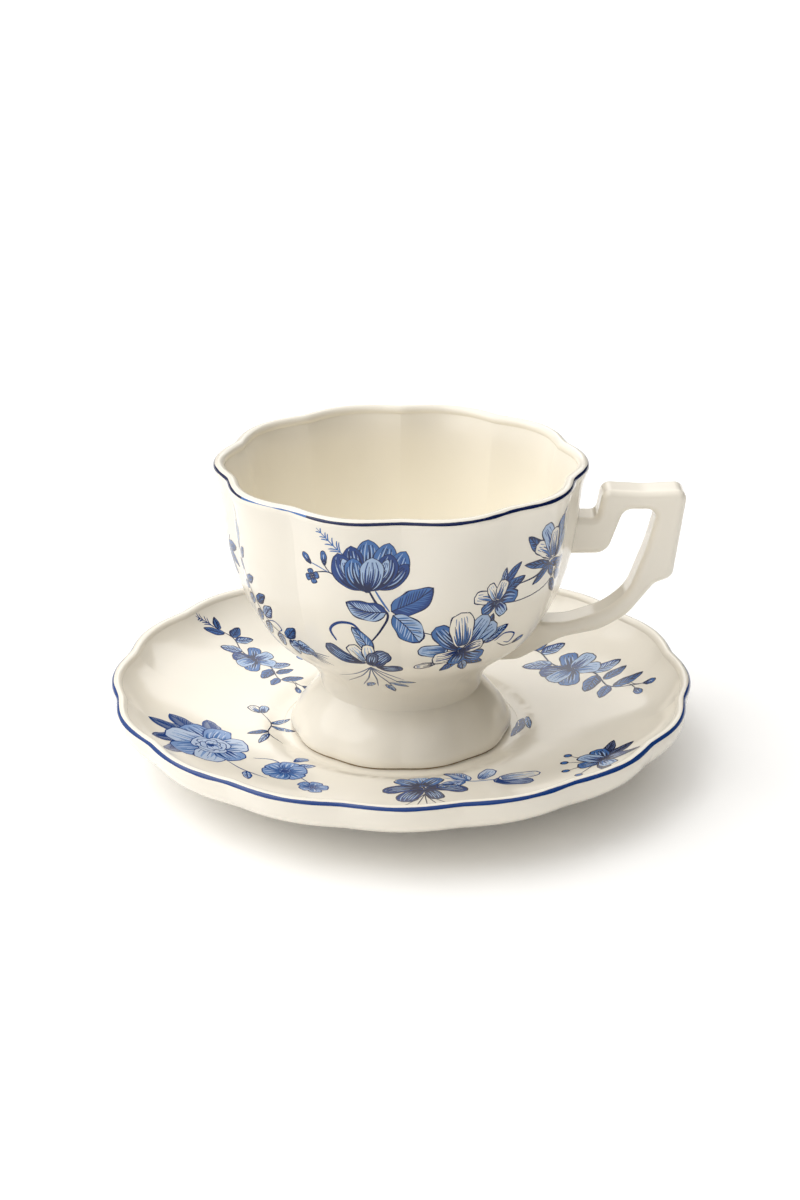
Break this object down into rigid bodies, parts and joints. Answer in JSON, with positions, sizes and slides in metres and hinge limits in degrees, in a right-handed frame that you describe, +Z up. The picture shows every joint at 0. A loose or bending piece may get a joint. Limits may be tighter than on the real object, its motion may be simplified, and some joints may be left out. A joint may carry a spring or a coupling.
{
  "type": "teacup and saucer",
  "caption": "Footed teacup with scalloped rim, fluted bowl and angular handle, standing in the well of a scalloped saucer.",
  "frame": {"origin": "on the table, under the middle of the saucer, at the base of its foot ring", "axes": "+Z up, along the cup's axis; +X towards the handle; the side seen from the front faces -Y"},
  "size_m": [0.1548, 0.1548, 0.081],
  "materials": {
    "saucer_glaze": "clear glossy glaze over cream earthenware",
    "cup_glaze": "clear glossy glaze over cream earthenware",
    "cobalt_print": "cobalt blue transfer print and painted line under the glaze"
  },
  "bodies": {
    "saucer": {"saucer": "saucer_glaze"},
    "cup": {"cup_bowl": "cup_glaze", "cup_foot": "cup_glaze", "cup_handle": "cup_glaze"}
  },
  "joints": [
    {"name": "cup_lift", "type": "slide", "parent": "saucer", "child": "cup", "axis": [0, 0, 1], "range_m": [0, 0.12]}
  ]
}
